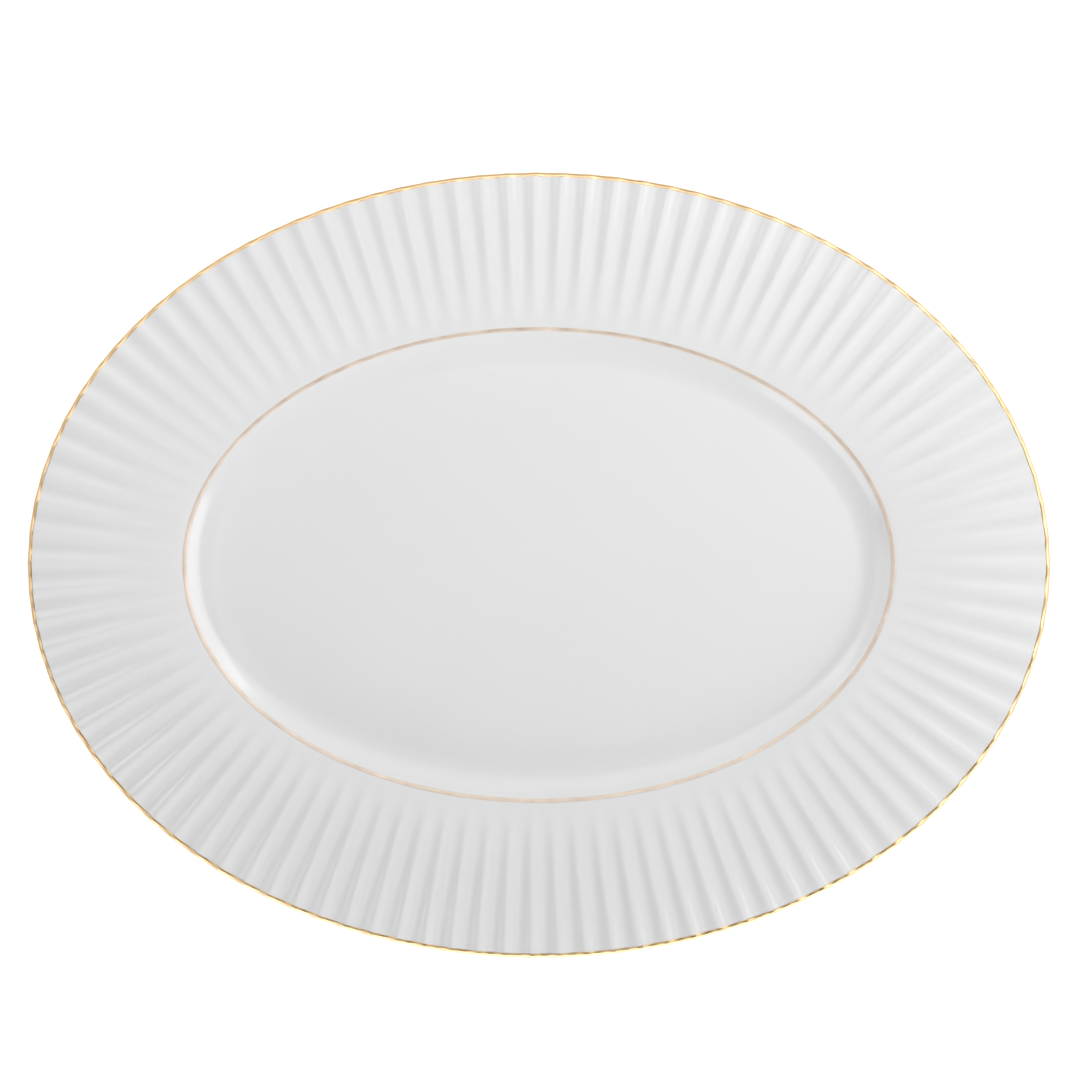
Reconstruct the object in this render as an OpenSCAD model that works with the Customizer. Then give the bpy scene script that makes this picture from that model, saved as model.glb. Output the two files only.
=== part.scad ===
// Oval china serving platter with a pleated rim, a gilded lip and a gilded line round the verge.
// It stands on the plane z = 0, centred on the origin, with its length along X.

/* [Platter] */
// Length over the gilded lip
length = 360; // [340:1:400]
// Width over the gilded lip
width = 276.5; // [260:0.5:300]
// Height of the well's floor above the table
floor_z = 9; // [7.5:0.1:10.5]
// Thickness of the china under the floor
floor_t = 5; // [4:0.1:5.5]
// Thickness of the rounded lip
lip_t = 2.6; // [2:0.1:3.5]

/* [Wall] */
// Width in plan of the curved wall, from the floor's edge to the verge
wall_w = 13; // [11:0.5:16]
// Width in plan of the straight slope between the wall's hollow curve and the shoulder
straight_w = 0.5; // [0.5:0.5:5]
// Steepest slope of the wall, in degrees
wall_angle = 32; // [25:1:50]
// Width in plan of the rounded shoulder that the verge runs along
shoulder_w = 3; // [2:0.5:4]

/* [Rim] */
// Width of the rim, from the verge to the lip
rim_w = 55; // [50:0.5:60]
// Slope of the rim beside the shoulder, in degrees
shoulder_angle = 7.5; // [4:0.5:12]
// Slope of the rim at the lip, in degrees
lip_angle = 2; // [0:1:4]

/* [Flutes] */
// Number of flutes round the rim
flutes = 100; // [60:4:100]
// Height from valley to crest at the lip
flute_depth = 1.2; // [0.6:0.1:2]
// Width of the plain band between the verge and the first trace of a flute
plain_w = 1.5; // [1:0.5:10]
// How the flutes deepen across the rim: 1 is evenly, more is sooner
deepening = 1.6; // [1:0.1:2]
// How much narrower the crests are than the valleys: 0 is a plain sine wave
crest_sharpness = 0.11; // [0:0.01:0.2]
// How far the flutes turn from pointing at the centre to standing square to the lip
squareness = 0.8; // [0:0.05:1]
// Distance of the fan of flutes from the platter's centre along the length
fan_shift_x = -2; // [-3:0.1:3]
// Distance of the fan of flutes from the platter's centre along the width
fan_shift_y = 0.5; // [-2:0.1:2]
// How far the first crest lies past the platter's end, in flutes
first_crest = -0.055; // [-0.5:0.005:0.5]

/* [Foot] */
// Distance in plan from the verge in to the outside of the foot ring
foot_inset = 17; // [16:1:25]
// Width of the foot ring
foot_w = 4.5; // [3:0.5:7]

/* [Gilding] */
// Thickness of the gilding
gild_t = 0.15; // [0.1:0.05:0.3]
// Width of the gilded line round the verge
verge_line_w = 1.4; // [0.8:0.1:2]
// Width of the gilded band on the lip, seen from above
lip_band_w = 1.6; // [1.5:0.1:3]

/* [Hidden] */

china = [0.93, 0.93, 0.92];
bare_china = [0.86, 0.84, 0.8];
gold = [0.83, 0.64, 0.33];

// Semi-axes of the verge, the ellipse where the well meets the rim.
// Every other ring is this ellipse moved outward by a distance d in both semi-axes.
verge_a = length / 2 - rim_w;
verge_b = width / 2 - rim_w;

// The flutes are evenly spaced along this ring, near the middle of the rim
spacing_d = 0.55 * rim_w;
arc_steps = 720;
arc_step = 360 / arc_steps;

// Each flute has four columns of points: crest, flank, valley, flank
columns_per_flute = 4;
columns = flutes * columns_per_flute;

// The lip's nose is a half round: its radius over the gilding, and on the china under it
lip_r = lip_t / 2;
china_lip_r = lip_r - gild_t;

// The underside turns up this much further out than the face, which keeps the wall's thickness
wall_shift = floor_t / 2;

foot_h = floor_z - floor_t;

// Width in plan of the hollow curve at the foot of the wall
cove_w = wall_w - straight_w - shoulder_w / 2;

// The face's slope changes evenly between these stations, each a distance d and a slope
stations = [
    [-wall_w, 0],
    [cove_w - wall_w, tan(wall_angle)],
    [-shoulder_w / 2, tan(wall_angle)],
    [shoulder_w / 2, tan(shoulder_angle)],
    [rim_w, tan(lip_angle)]];

// ---- Plan ----

function ring_point(d, angle) = [(verge_a + d) * cos(angle), (verge_b + d) * sin(angle)];

function spacing_chord(i) =
    norm(ring_point(spacing_d, i * arc_step) - ring_point(spacing_d, (i - 1) * arc_step));

// Length along the spacing ring from the +X axis to each step, and the step's angle
arc_lengths = [for (i = 0, s = 0; i <= arc_steps; i = i + 1, s = s + spacing_chord(i)) s];
angle_by_arc = [for (i = [0:arc_steps]) [arc_lengths[i], i * arc_step]];

// Ring angle of flute u; flutes are counted from the +X axis, and a whole number is a crest
function flute_angle(u) =
    let (turns = (u + first_crest + flutes) / flutes % 1)
    lookup(turns * arc_lengths[arc_steps], angle_by_arc);

function signed_angle(angle) = (angle + 540) % 360 - 180;

// Direction of flute u in plan, between pointing at the centre and square to the ring
function flute_direction(u) =
    let (angle = flute_angle(u),
         square = atan2((verge_a + spacing_d) * sin(angle), (verge_b + spacing_d) * cos(angle)),
         turned = angle + squareness * signed_angle(square - angle))
    [cos(turned), sin(turned)];

// Point where the straight line along flute u crosses ring d
function plan(u, d) =
    let (start = ring_point(spacing_d, flute_angle(u)) + [fan_shift_x, fan_shift_y],
         along = flute_direction(u),
         p = [start.x / (verge_a + d), start.y / (verge_b + d)],
         v = [along.x / (verge_a + d), along.y / (verge_b + d)],
         travel = (sqrt((p * v) ^ 2 - v * v * (p * p - 1)) - p * v) / (v * v))
    start + travel * along;

// ---- Heights ----

// Rise of the face between station i and the next, as far out as d
function rise(i, d) =
    let (from = stations[i].x, to = min(max(d, from), stations[i + 1].x))
    (to - from) * (lookup(from, stations) + lookup(to, stations)) / 2;

// Height of the face, without its flutes
function face_z(d) =
    let (rises = [for (i = [0:len(stations) - 2]) rise(i, d)])
    floor_z + rises * [for (r = rises) 1];

// Flute profile: 1 at a crest, -1 in a valley
function wave(u) = cos(360 * u) + crest_sharpness * (cos(720 * u) - 1);

// Half the flutes' depth at distance d from the verge
function relief(d) =
    let (out = max(d - plain_w, 0) / (rim_w - plain_w))
    flute_depth / 2 * (1 - (1 - out) ^ deepening);

function top_z(u, d) = face_z(d) + relief(d) * wave(u);

// Thickness of the china, measured straight down
function thickness(d) = floor_t + (2 * china_lip_r - floor_t) * max(d, 0) / rim_w;

// Height of the underside, which follows the face's flutes
function under_z(u, d) = face_z(d - wall_shift) - thickness(d) + relief(d) * wave(u);

// ---- Sections ----
// A section is the outline on flute line u: points [d, z], clockwise with d outward and z upward.

// Rings of the wall, from the floor's edge to the steep part
wall_rings = [-wall_w, cove_w / 2 - wall_w, cove_w - wall_w];

// The rim is so nearly straight in section that one ring between verge and lip is enough
mid_rim = 0.4 * rim_w;
band_edge = rim_w - lip_band_w;

// Three points round the lip's nose, at a radius r from its centre
function lip_nose(u, r) =
    let (d = rim_w - lip_r, z = top_z(u, d) - china_lip_r)
    [[d, z + r], [d + r, z], [d, z - r]];

function china_section(u) = concat(
    [for (d = concat(wall_rings, [-verge_line_w / 2, verge_line_w / 2, mid_rim, band_edge]))
        [d, top_z(u, d)]],
    lip_nose(u, china_lip_r),
    [for (d = [mid_rim, wall_shift + shoulder_w / 2]) [d, under_z(u, d)]],
    [for (i = [2:-1:0]) [wall_rings[i] + wall_shift, under_z(u, wall_rings[i] + wall_shift)]]);

function lip_gilding_section(u) =
    let (under = lip_nose(u, china_lip_r), edge_z = top_z(u, band_edge))
    concat(
        [[band_edge, edge_z + gild_t]],
        lip_nose(u, lip_r),
        [under[2], under[1], under[0]],
        [[band_edge, edge_z]]);

function verge_gilding_section(u) =
    let (edge = verge_line_w / 2, z_in = top_z(u, -edge), z_out = top_z(u, edge))
    [[-edge, z_in + gild_t], [edge, z_out + gild_t], [edge, z_out], [-edge, z_in]];

// ---- Solids ----

// Carries a section round the platter. A looped section is joined to itself;
// the two ends of an open one are closed with flat faces.
module swept_round(section, looped) {
    outlines = [for (i = [0:columns - 1]) section(i / columns_per_flute)];
    rings = len(outlines[0]);
    points = [
        for (k = [0:rings - 1])
            for (i = [0:columns - 1])
                let (at = outlines[i][k], xy = plan(i / columns_per_flute, at.x))
                [xy.x, xy.y, at.y]];
    skin = [
        for (k = [0:looped ? rings - 1 : rings - 2])
            for (i = [0:columns - 1])
                let (a = k * columns, b = (k + 1) % rings * columns, j = (i + 1) % columns)
                each [[a + i, a + j, b + j], [a + i, b + j, b + i]]];
    top_cap = [for (i = [columns - 1:-1:0]) i];
    under_cap = [for (i = [0:columns - 1]) (rings - 1) * columns + i];
    polyhedron(points, looped ? skin : concat(skin, [top_cap, under_cap]));
}

// Flat oval inside ring d
module oval(d) {
    polygon([for (i = [0:2:arc_steps - 1]) ring_point(d, i * arc_step)]);
}

module china_body() {
    color(china) swept_round(function(u) china_section(u), looped = false);
}

module foot_ring() {
    color(bare_china) linear_extrude(foot_h) difference() {
        oval(-foot_inset);
        oval(-foot_inset - foot_w);
    }
}

module lip_gilding() {
    color(gold) swept_round(function(u) lip_gilding_section(u), looped = true);
}

module verge_gilding() {
    color(gold) swept_round(function(u) verge_gilding_section(u), looped = true);
}

china_body();
foot_ring();
lip_gilding();
verge_gilding();
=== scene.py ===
"""Looks of an oval china serving platter: fine meshes, glazed china, fired gold and a studio."""
import math

import bpy
import numpy as np
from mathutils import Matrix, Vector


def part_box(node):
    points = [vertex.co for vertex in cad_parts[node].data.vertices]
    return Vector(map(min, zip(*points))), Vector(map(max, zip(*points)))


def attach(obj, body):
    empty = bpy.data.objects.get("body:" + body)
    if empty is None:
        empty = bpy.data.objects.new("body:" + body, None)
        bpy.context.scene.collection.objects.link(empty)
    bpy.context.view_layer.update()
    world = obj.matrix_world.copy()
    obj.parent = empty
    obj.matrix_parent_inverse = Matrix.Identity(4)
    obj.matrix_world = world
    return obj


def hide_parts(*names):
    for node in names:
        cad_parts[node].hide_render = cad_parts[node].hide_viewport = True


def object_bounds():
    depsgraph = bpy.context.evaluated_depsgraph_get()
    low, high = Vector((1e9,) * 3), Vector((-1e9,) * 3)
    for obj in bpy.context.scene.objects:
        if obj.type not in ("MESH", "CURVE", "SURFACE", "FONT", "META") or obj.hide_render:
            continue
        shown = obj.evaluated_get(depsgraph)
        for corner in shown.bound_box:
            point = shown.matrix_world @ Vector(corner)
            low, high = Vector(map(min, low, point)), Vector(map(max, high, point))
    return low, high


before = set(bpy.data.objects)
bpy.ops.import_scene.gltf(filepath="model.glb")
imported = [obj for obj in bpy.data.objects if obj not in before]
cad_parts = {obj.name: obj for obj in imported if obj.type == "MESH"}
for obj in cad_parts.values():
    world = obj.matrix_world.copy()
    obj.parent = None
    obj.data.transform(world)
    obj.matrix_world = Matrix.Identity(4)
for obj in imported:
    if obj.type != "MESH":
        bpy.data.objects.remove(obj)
cad_low, cad_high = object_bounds()

MM = 0.001

# ---------------------------------------------------------------- The platter's measures

# Measured on the CAD model
LENGTH = cad_high.x - cad_low.x
WIDTH = cad_high.y - cad_low.y
FOOT_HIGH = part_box("foot_ring")[1]

# The same driving dimensions as the CAD model's
FLOOR_Z = 9 * MM
FLOOR_T = 5 * MM
LIP_T = 2.6 * MM
WALL_W = 13 * MM
STRAIGHT_W = 0.5 * MM
WALL_ANGLE = 32
SHOULDER_W = 3 * MM
RIM_W = 55 * MM
SHOULDER_ANGLE = 7.5
LIP_ANGLE = 2
FLUTES = 100
FLUTE_DEPTH = 1.2 * MM
PLAIN_W = 1.5 * MM
DEEPENING = 1.6
CREST_SHARPNESS = 0.11
SQUARENESS = 0.8
FAN_SHIFT = (-2 * MM, 0.5 * MM)
FIRST_CREST = -0.055
FOOT_W = 4.5 * MM
VERGE_LINE_W = 1.4 * MM
LIP_BAND_W = 1.6 * MM

VERGE_A = LENGTH / 2 - RIM_W
VERGE_B = WIDTH / 2 - RIM_W
SPACING_D = 0.55 * RIM_W
# The underside turns up this much further out than the face
WALL_SHIFT = FLOOR_T / 2
# Width in plan of the hollow curve at the foot of the wall
COVE_W = WALL_W - STRAIGHT_W - SHOULDER_W / 2
FOOT_D = FOOT_HIGH.x - VERGE_A
BAND_EDGE = RIM_W - LIP_BAND_W

# Fired gold is only a skin: how far it stands proud of the china, and how far its closed
# underside is buried in it
GILD_T = 0.04 * MM
GILD_BURIED = 0.1 * MM
LIP_R = LIP_T / 2
CHINA_LIP_R = LIP_R - GILD_T

# Distance from the verge and slope of the face; the slope changes evenly between stations
STATIONS = [
    (-WALL_W, 0.0),
    (COVE_W - WALL_W, math.tan(math.radians(WALL_ANGLE))),
    (-SHOULDER_W / 2, math.tan(math.radians(WALL_ANGLE))),
    (SHOULDER_W / 2, math.tan(math.radians(SHOULDER_ANGLE))),
    (RIM_W, math.tan(math.radians(LIP_ANGLE))),
]

# How finely the meshes are made. Each column of points has its place U, counted in flutes.
COLUMNS_PER_FLUTE = 10
COLUMNS = FLUTES * COLUMNS_PER_FLUTE
U = np.arange(COLUMNS) / COLUMNS_PER_FLUTE
ARC_STEPS = 7200
NOSE_RINGS = 11


# ---------------------------------------------------------------- Shape

def oval(d, angle):
    """Points in plan on the oval that lies d outside the verge."""
    return np.stack([(VERGE_A + d) * np.cos(angle), (VERGE_B + d) * np.sin(angle)], axis=-1)


def flute_lines():
    """Start and direction in plan of the straight line that each column of points follows."""
    steps = np.linspace(0, 2 * math.pi, ARC_STEPS + 1)
    chords = np.linalg.norm(np.diff(oval(SPACING_D, steps), axis=0), axis=1)
    arc = np.concatenate([[0], np.cumsum(chords)])
    angle = np.interp((U + FIRST_CREST) % FLUTES / FLUTES * arc[-1], arc, steps)
    square = np.arctan2((VERGE_A + SPACING_D) * np.sin(angle),
                        (VERGE_B + SPACING_D) * np.cos(angle))
    turned = angle + SQUARENESS * np.angle(np.exp(1j * (square - angle)))
    return oval(SPACING_D, angle) + FAN_SHIFT, np.stack([np.cos(turned), np.sin(turned)], axis=-1)


LINE_START, LINE_ALONG = flute_lines()


def plan(d):
    """Where each column's line crosses oval d; d is one number, or one for each column."""
    axes = np.stack([VERGE_A + d, VERGE_B + d], axis=-1)
    p = LINE_START / axes
    v = LINE_ALONG / axes
    pv, vv, pp = (p * v).sum(axis=1), (v * v).sum(axis=1), (p * p).sum(axis=1)
    travel = (np.sqrt(pv**2 - vv * (pp - 1)) - pv) / vv
    return LINE_START + travel[:, None] * LINE_ALONG


def face_z(d):
    """Height of the face at distance d from the verge, without its flutes."""
    z = FLOOR_Z
    for (d0, slope0), (d1, slope1) in zip(STATIONS, STATIONS[1:]):
        reach = np.clip(d, d0, d1) - d0
        z += reach * slope0 + reach**2 * (slope1 - slope0) / (2 * (d1 - d0))
    return z


def flute_wave():
    """Flute profile of each column: 1 at a crest, about -1 in a valley."""
    turn = 2 * math.pi * U
    return np.cos(turn) + CREST_SHARPNESS * (np.cos(2 * turn) - 1)


WAVE = flute_wave()


def relief(d):
    """Half the flutes' depth at distance d from the verge."""
    out = np.clip((d - PLAIN_W) / (RIM_W - PLAIN_W), 0, 1)
    return FLUTE_DEPTH / 2 * (1 - (1 - out) ** DEEPENING)


def top_z(d):
    return face_z(d) + relief(d) * WAVE


def thickness(d):
    """Thickness of the china, measured straight down."""
    return FLOOR_T + (2 * CHINA_LIP_R - FLOOR_T) * np.maximum(d, 0) / RIM_W


def under_z(d):
    return face_z(d - WALL_SHIFT) - thickness(d) + relief(d) * WAVE


def ring(d, z):
    """One ring of points, at distance d from the verge and height z."""
    xy = plan(d)
    return np.column_stack([xy, np.broadcast_to(z, len(xy))])


def face_ring(d, proud=0.0):
    return ring(d, top_z(d) + proud)


def nose_rings(radius, count=NOSE_RINGS):
    """Rings round the lip's nose, from its top to its underside."""
    d = RIM_W - LIP_R
    z = top_z(d) - CHINA_LIP_R
    for turn in np.linspace(math.pi / 2, -math.pi / 2, count):
        yield ring(d + radius * math.cos(turn), z + radius * math.sin(turn))


def disc_rings(d, z, shares):
    """Rings that fill the flat oval inside ring d, at the given shares of its size."""
    edge = plan(d)
    for share in shares:
        yield np.column_stack([edge * share, np.full(len(edge), z)])


def arc(centre_d, centre_z, radius, start, end, count):
    """Profile points (d, z) on a circular arc, with angles in degrees."""
    turns = np.radians(np.linspace(start, end, count))
    return [(centre_d + radius * math.cos(t), centre_z + radius * math.sin(t)) for t in turns]


def waver(seed, size):
    """Unevenness of an edge painted by hand, one value for each column."""
    random = np.random.default_rng(seed)
    # Numbers of waves round the platter, from long and tall to short and low
    waves = np.arange(4, 90)
    phases = random.uniform(0, 2 * math.pi, len(waves))
    total = np.cos(2 * math.pi * np.outer(U / FLUTES, waves) + phases) @ waves**-0.5
    return size * total / np.abs(total).max()


# ---------------------------------------------------------------- Meshes

def skin(name, rings, looped):
    """Mesh through rings of points. A looped skin joins its last ring to its first;
    an open one is closed by a fan at each end."""
    columns = len(rings[0])
    points = np.concatenate(rings)
    i = np.arange(columns)
    j = (i + 1) % columns
    spans = [(k, (k + 1) % len(rings)) for k in range(len(rings) - (not looped))]
    faces = [np.stack([a * columns + i, b * columns + i, b * columns + j, a * columns + j], axis=1)
             for a, b in spans]
    faces = np.concatenate(faces).tolist()
    if not looped:
        hubs = np.array([rings[0].mean(axis=0), rings[-1].mean(axis=0)])
        first, last = len(points), len(points) + 1
        outermost = len(points) - columns
        faces += np.stack([np.full(columns, first), i, j], axis=1).tolist()
        faces += np.stack([np.full(columns, last), outermost + j, outermost + i], axis=1).tolist()
        points = np.concatenate([points, hubs])
    mesh = bpy.data.meshes.new(name)
    mesh.from_pydata(points.tolist(), [], faces)
    mesh.polygons.foreach_set("use_smooth", [True] * len(mesh.polygons))
    mesh.update()
    piece = bpy.data.objects.new(name, mesh)
    bpy.context.scene.collection.objects.link(piece)
    return piece


def write_attribute(piece, name, kind, values):
    """Stores one value for each point of the mesh, for its material to read."""
    key = {"FLOAT": "value", "FLOAT_VECTOR": "vector"}[kind]
    attribute = piece.data.attributes.new(name, kind, "POINT")
    attribute.data.foreach_set(key, np.ravel(values).astype(np.float32))


def painted_shading(d):
    """Painted shade on the face: above 0, darker, in the flute valleys and the cove; below 0,
    lighter, on the crests and the shoulder.
    """
    valley = -WAVE * relief(d) / relief(RIM_W)
    cove = math.exp(-((d + WALL_W - COVE_W / 2) / (COVE_W / 2)) ** 2)
    shoulder = math.exp(-((d / SHOULDER_W) ** 2))
    return 0.6 * valley + cove - shoulder


def ring_places(shift, close, wide):
    """Distances of one side's rings from the verge, from the floor's edge out to the lip: close
    together over the wall and shoulder, then wider apart over the straighter rim."""
    bend_end = shift + 4 * MM
    gap = 1.5 * MM
    return np.concatenate([np.linspace(shift - WALL_W, bend_end, close),
                           np.linspace(bend_end + gap, BAND_EDGE, wide)])


def make_china_body():
    """The whole body of the platter: floor, wall, fluted rim, rounded lip and underside."""
    floor_shares = np.array([0.15, 0.4, 0.65, 0.82, 0.94])
    face = ring_places(0, close=27, wide=25)
    under = ring_places(WALL_SHIFT, close=13, wide=12)[::-1]
    rings = list(disc_rings(-WALL_W, FLOOR_Z, floor_shares))
    rings += [face_ring(d) for d in face]
    rings += nose_rings(CHINA_LIP_R)
    rings += [ring(d, under_z(d)) for d in under]
    rings += disc_rings(WALL_SHIFT - WALL_W, FLOOR_Z - FLOOR_T, floor_shares[::-2])
    piece = skin("glazed_body", rings, looped=False)

    # The painted shade, held in depth, counts only on the face; the lip, the underside and the two
    # hubs have none
    depth = np.zeros((len(rings), COLUMNS))
    depth[:len(floor_shares)] = painted_shading(-WALL_W)
    depth[len(floor_shares):len(floor_shares) + len(face)] = [painted_shading(d) for d in face]
    write_attribute(piece, "painted_shading", "FLOAT", np.append(depth, [0, 0]))
    return piece


def make_foot_ring():
    """The foot: fillets into the body, sides, rounded edges and a flat ground face."""
    top = FOOT_HIGH.z
    fillet = 0.9 * MM
    edge = 0.5 * MM
    buried = 0.3 * MM
    outer = [(FOOT_D + fillet, top + buried)]
    outer += arc(FOOT_D + fillet, top - fillet, fillet, 90, 180, 6)
    outer += arc(FOOT_D - edge, edge, edge, 0, -90, 5)
    middle = FOOT_D - FOOT_W / 2
    inner = [(2 * middle - d, z) for d, z in reversed(outer)]
    return skin("foot", [ring(d, z) for d, z in outer + inner], looped=True)


def gild(name, d, rings):
    """A closed skin of gold near distance d from the verge, with the place of its brush strokes.
    The rings lie further apart in that place than on the china, so the strokes run along them."""
    spread = 2 * MM
    piece = skin(name, rings, looped=True)
    along = np.tile(plan(d), (len(rings), 1))
    across = np.repeat(np.arange(len(rings)) * spread, COLUMNS)
    write_attribute(piece, "brush_strokes", "FLOAT_VECTOR", np.column_stack([along, across]))
    return piece


def make_lip_gilding():
    """Band of gold over the lip."""
    edge = BAND_EDGE + waver(seed=3, size=0.12 * MM)
    feather = 0.15 * MM
    middle = (edge + RIM_W - LIP_R) / 2
    outside = [face_ring(edge), face_ring(edge + feather, GILD_T), face_ring(middle, GILD_T)]
    outside += nose_rings(LIP_R)
    inside = list(nose_rings(CHINA_LIP_R - GILD_BURIED, count=7))[::-1]
    inside += [face_ring(edge, -GILD_BURIED)]
    return gild("gilded_lip", BAND_EDGE, outside + inside)


def make_verge_gilding():
    """Thin line of gold round the verge."""
    low = -VERGE_LINE_W / 2 + waver(seed=1, size=0.06 * MM)
    high = VERGE_LINE_W / 2 + waver(seed=2, size=0.06 * MM)
    feather = 0.12 * MM
    middle = (low + high) / 2
    outside = [face_ring(low), face_ring(low + feather, GILD_T), face_ring(middle, GILD_T)]
    outside += [face_ring(high - feather, GILD_T), face_ring(high)]
    inside = [face_ring(high, -GILD_BURIED), face_ring(low, -GILD_BURIED)]
    return gild("gilded_verge", 0, outside + inside)


# ---------------------------------------------------------------- Materials

class Material:
    """A new material with short ways to add the nodes used here."""

    def __init__(self, name):
        self.material = bpy.data.materials.new(name)
        self.material.use_nodes = True
        self.tree = self.material.node_tree
        self.shader = self.tree.nodes["Principled BSDF"]

    def node(self, kind, inputs=(), **settings):
        """A node with its settings and the values or links of the inputs named."""
        node = self.tree.nodes.new(kind)
        for name, value in settings.items():
            setattr(node, name, value)
        for name, value in dict(inputs).items():
            self.feed(node.inputs[name], value)
        return node

    def feed(self, socket, value):
        if isinstance(value, bpy.types.NodeSocket):
            self.tree.links.new(value, socket)
        else:
            socket.default_value = value

    def position(self):
        """Place on the object, in metres."""
        return self.node("ShaderNodeTexCoord").outputs["Object"]

    def attribute(self, name, output):
        return self.node("ShaderNodeAttribute", attribute_name=name).outputs[output]

    def noise(self, place, feature_size, detail=2.0):
        """Noise from 0 to 1 whose features are about feature_size metres across."""
        inputs = {"Vector": place, "Scale": 1 / feature_size, "Detail": detail}
        return self.node("ShaderNodeTexNoise", inputs).outputs["Fac"]

    def span(self, value, from_low, from_high, to_low, to_high):
        """value mapped from one range to another, and held at its ends."""
        inputs = {"Value": value, "From Min": from_low, "From Max": from_high,
                  "To Min": to_low, "To Max": to_high}
        return self.node("ShaderNodeMapRange", inputs).outputs["Result"]

    def math(self, operation, a, b):
        node = self.node("ShaderNodeMath", operation=operation)
        self.feed(node.inputs[0], a)
        self.feed(node.inputs[1], b)
        return node.outputs["Value"]

    def mix(self, share, a, b):
        """Colour a, going to colour b as share goes to 1."""
        node = self.node("ShaderNodeMix", data_type="RGBA")
        for name, value in (("Factor_Float", share), ("A_Color", a), ("B_Color", b)):
            self.feed(next(s for s in node.inputs if s.identifier == name), value)
        return next(s for s in node.outputs if s.identifier == "Result_Color")

    def bump(self, height_mm):
        """Normal of a surface raised by height_mm, in millimetres."""
        inputs = {"Height": height_mm, "Distance": MM}
        return self.node("ShaderNodeBump", inputs).outputs["Normal"]

    def finish(self, inputs):
        for name, value in inputs.items():
            self.feed(self.shader.inputs[name], value)
        return self.material


CHINA_WHITE = (0.79, 0.79, 0.79, 1)
CHINA_SHADE = (0.77, 0.77, 0.77, 1)
# Painted shade: the china's colour in the flute valleys and the cove
PAINTED_SHADE_GREY = (0.762, 0.763, 0.763, 1)
SPECK_BROWN = (0.42, 0.38, 0.34, 1)
BARE_CHINA = (0.66, 0.64, 0.61, 1)
SCUFFED_CHINA = (0.5, 0.49, 0.47, 1)


def glaze_height(look, place):
    """The glaze's gentle undulation and its fine orange peel, in millimetres."""
    undulation = look.math("MULTIPLY", look.noise(place, 18 * MM), 0.012)
    peel = look.math("MULTIPLY", look.noise(place, 1.6 * MM), 0.0006)
    return look.math("ADD", undulation, peel)


def make_china_material():
    """White china under a clear glaze, with faint mottling, a few tiny specks, painted shade in
    its hollows and painted light on its crests.
    """
    look = Material("glazed_china")
    place = look.position()
    mottling = look.span(look.noise(place, 70 * MM, 3), 0.35, 0.65, 0, 1)
    body = look.mix(mottling, CHINA_WHITE, CHINA_SHADE)
    # Painted shade: darker in the flute valleys and the cove, lighter on the crests and the
    # shoulder
    depth = look.span(look.attribute("painted_shading", "Fac"), -1, 1, 0, 1)
    glazed = look.mix(depth, body, PAINTED_SHADE_GREY)
    # Points strewn through space about 17 mm apart; the few that lie in the surface show as specks
    cells = look.node("ShaderNodeTexVoronoi", {"Vector": place, "Scale": 60})
    speck = look.span(cells.outputs["Distance"], 0.008, 0.014, 0.5, 0)
    return look.finish({
        "Base Color": look.mix(speck, glazed, SPECK_BROWN),
        "Roughness": look.span(look.noise(place, 40 * MM, 4), 0.3, 0.7, 0.1, 0.15),
        "Normal": look.bump(glaze_height(look, place)),
        "IOR": 1.5,
        "Subsurface Weight": 0.15,
        "Subsurface Radius": (1.0, 1.0, 1.0),
        "Subsurface Scale": 1.5 * MM,
    })


def make_foot_material():
    """China glazed on the foot's sides, and ground bare where the platter stands."""
    look = Material("ground_foot_china")
    place = look.position()
    height = look.node("ShaderNodeSeparateXYZ", {"Vector": place}).outputs["Z"]
    bare = look.span(height, 0.15 * MM, 0.45 * MM, 1, 0)
    grain = look.noise(place, 0.7 * MM, 4)
    scuffs = look.span(look.noise(place, 9 * MM, 4), 0.5, 0.7, 0, 0.5)
    ground = look.mix(scuffs, BARE_CHINA, SCUFFED_CHINA)
    grain_height = look.math("MULTIPLY", grain, look.math("MULTIPLY", bare, 0.03))
    return look.finish({
        "Base Color": look.mix(bare, CHINA_WHITE, ground),
        "Roughness": look.span(bare, 0, 1, 0.12, 0.8),
        "Normal": look.bump(look.math("ADD", grain_height, glaze_height(look, place))),
        "IOR": 1.5,
    })


def make_gold_material(name, dark_tone, light_tone, roughness, metal):
    """Gold fired over the glaze, laid on with a brush. Roughness is its lowest and highest,
    and metal is how much of the surface is metal."""
    look = Material(name)
    strokes = look.attribute("brush_strokes", "Vector")
    streaks = look.noise(strokes, 5 * MM, 4)
    patches = look.noise(look.position(), 12 * MM, 3)
    blend = look.math("ADD", look.math("MULTIPLY", streaks, 0.5),
                      look.math("MULTIPLY", patches, 0.5))
    lightness = look.span(blend, 0.35, 0.65, 0, 1)
    return look.finish({
        "Base Color": look.mix(lightness, dark_tone, light_tone),
        "Roughness": look.span(streaks, 0.3, 0.7, *roughness),
        "Normal": look.bump(look.math("MULTIPLY", streaks, 0.004)),
        "Metallic": metal,
    })


def make_lip_gold():
    """Full, bright gold, all metal."""
    return make_gold_material("bright_lip_gold", roughness=(0.38, 0.5), metal=1.0,
                              dark_tone=(0.8, 0.55, 0.29, 1), light_tone=(0.91, 0.69, 0.42, 1))


def make_verge_gold():
    """Thin and worn: part metal, and part the tan ground that shows through."""
    return make_gold_material("worn_verge_gold", roughness=(0.5, 0.62), metal=0.5,
                              dark_tone=(0.68, 0.56, 0.46, 1), light_tone=(0.86, 0.75, 0.64, 1))


# ---------------------------------------------------------------- Studio

CAMERA_LENS = 150
CAMERA_SENSOR = 36
# The frame is a little wider than the platter, and its middle lies a little to the right of the
# platter's middle and above it
FRAME_W = LENGTH * 1.055
CAMERA_AT = (0.4 * MM, 8.8 * MM)


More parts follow.
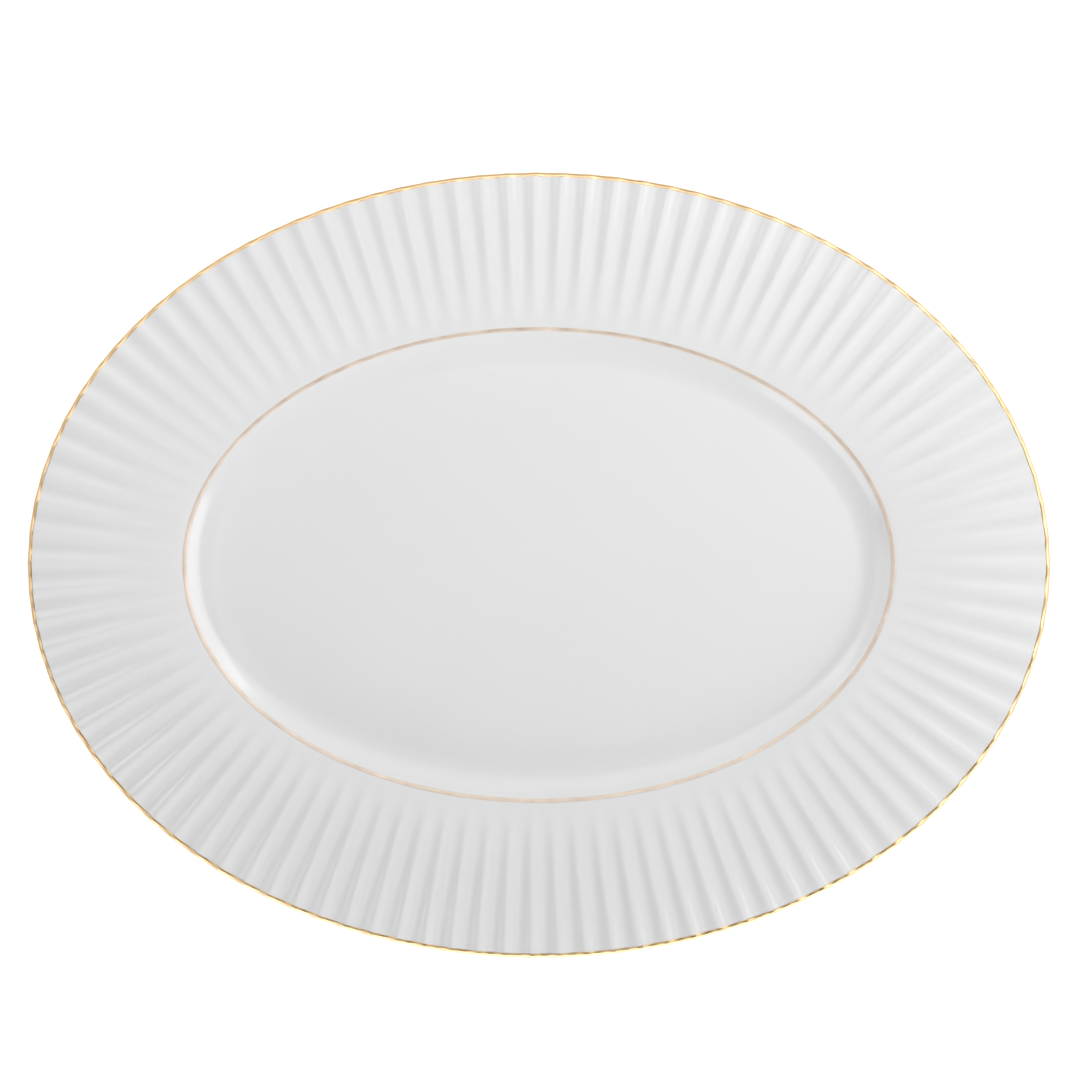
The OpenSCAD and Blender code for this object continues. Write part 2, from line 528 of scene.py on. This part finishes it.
def make_camera():
    """Camera that looks straight down."""
    data = bpy.data.cameras.new("camera")
    data.lens = CAMERA_LENS
    data.sensor_width = CAMERA_SENSOR
    camera = bpy.data.objects.new("camera", data)
    camera.location = (*CAMERA_AT, cad_high.z + FRAME_W * CAMERA_LENS / CAMERA_SENSOR)
    bpy.context.scene.collection.objects.link(camera)
    bpy.context.scene.camera = camera


def make_floor():
    """White table that glows a little, so that the platter's shadow on it stays faint."""
    half = 3.0
    corners = [(-half, -half, 0), (half, -half, 0), (half, half, 0), (-half, half, 0)]
    mesh = bpy.data.meshes.new("floor")
    mesh.from_pydata(corners, [], [(0, 1, 2, 3)])
    floor = bpy.data.objects.new("floor", mesh)
    bpy.context.scene.collection.objects.link(floor)
    mesh.materials.append(Material("pale_floor").finish({
        "Base Color": (0.4, 0.4, 0.4, 1),
        "Roughness": 0.9,
        "Emission Color": (1, 1, 1, 1),
        "Emission Strength": 0.8,
    }))


# Name, azimuth, elevation, distance, width, height and power. The key comes from the right and
# another light from the back, close enough to fall off across the platter, with low, broad
# fills opposite.
SOFTBOXES = [
    ("key_right", 10, 34, 1.0, 1.2, 0.55, 7.0),
    ("back", 90, 50, 0.9, 1.4, 0.5, 4.3),
    ("top", 60, 80, 1.9, 1.0, 1.0, 2.7),
    ("fill_left", 160, 38, 2.0, 1.6, 1.2, 9.5),
    ("fill_lower_left", 225, 28, 2.0, 1.2, 0.8, 8.1),
    ("low_front", 270, 8, 2.0, 2.6, 0.6, 23.9),
    ("low_lower_right", 315, 8, 2.0, 1.0, 0.8, 9.1),
]


def make_softbox(name, azimuth, elevation, distance, width, height, power):
    """Area light that faces the platter; azimuth is counted from +X towards +Y."""
    data = bpy.data.lights.new(name, "AREA")
    data.shape = "RECTANGLE"
    data.energy = power
    data.size = width
    data.size_y = height
    light = bpy.data.objects.new(name, data)
    turn, lift = math.radians(azimuth), math.radians(elevation)
    light.location = (distance * math.cos(lift) * math.cos(turn),
                      distance * math.cos(lift) * math.sin(turn),
                      distance * math.sin(lift))
    light.rotation_mode = "QUATERNION"
    light.rotation_quaternion = light.location.to_track_quat("Z", "Y")
    bpy.context.scene.collection.objects.link(light)


def make_world():
    """Very faint white surroundings, and a view that shows colours as they are."""
    world = bpy.data.worlds.new("studio")
    world.use_nodes = True
    background = world.node_tree.nodes["Background"]
    background.inputs["Color"].default_value = (1, 1, 1, 1)
    background.inputs["Strength"].default_value = 0.02
    bpy.context.scene.world = world
    bpy.context.scene.view_settings.view_transform = "Standard"


# ---------------------------------------------------------------- Assembly

make_camera()
make_world()
make_floor()
for softbox in SOFTBOXES:
    make_softbox(*softbox)

for piece, node, slot, material in [
        (make_china_body(), "china_body", "glazed_china", make_china_material()),
        (make_foot_ring(), "foot_ring", "bare_china", make_foot_material()),
        (make_lip_gilding(), "lip_gilding", "gilding", make_lip_gold()),
        (make_verge_gilding(), "verge_gilding", "gilding", make_verge_gold())]:
    piece.data.materials.append(material)
    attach(piece, "root")
    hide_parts(node)
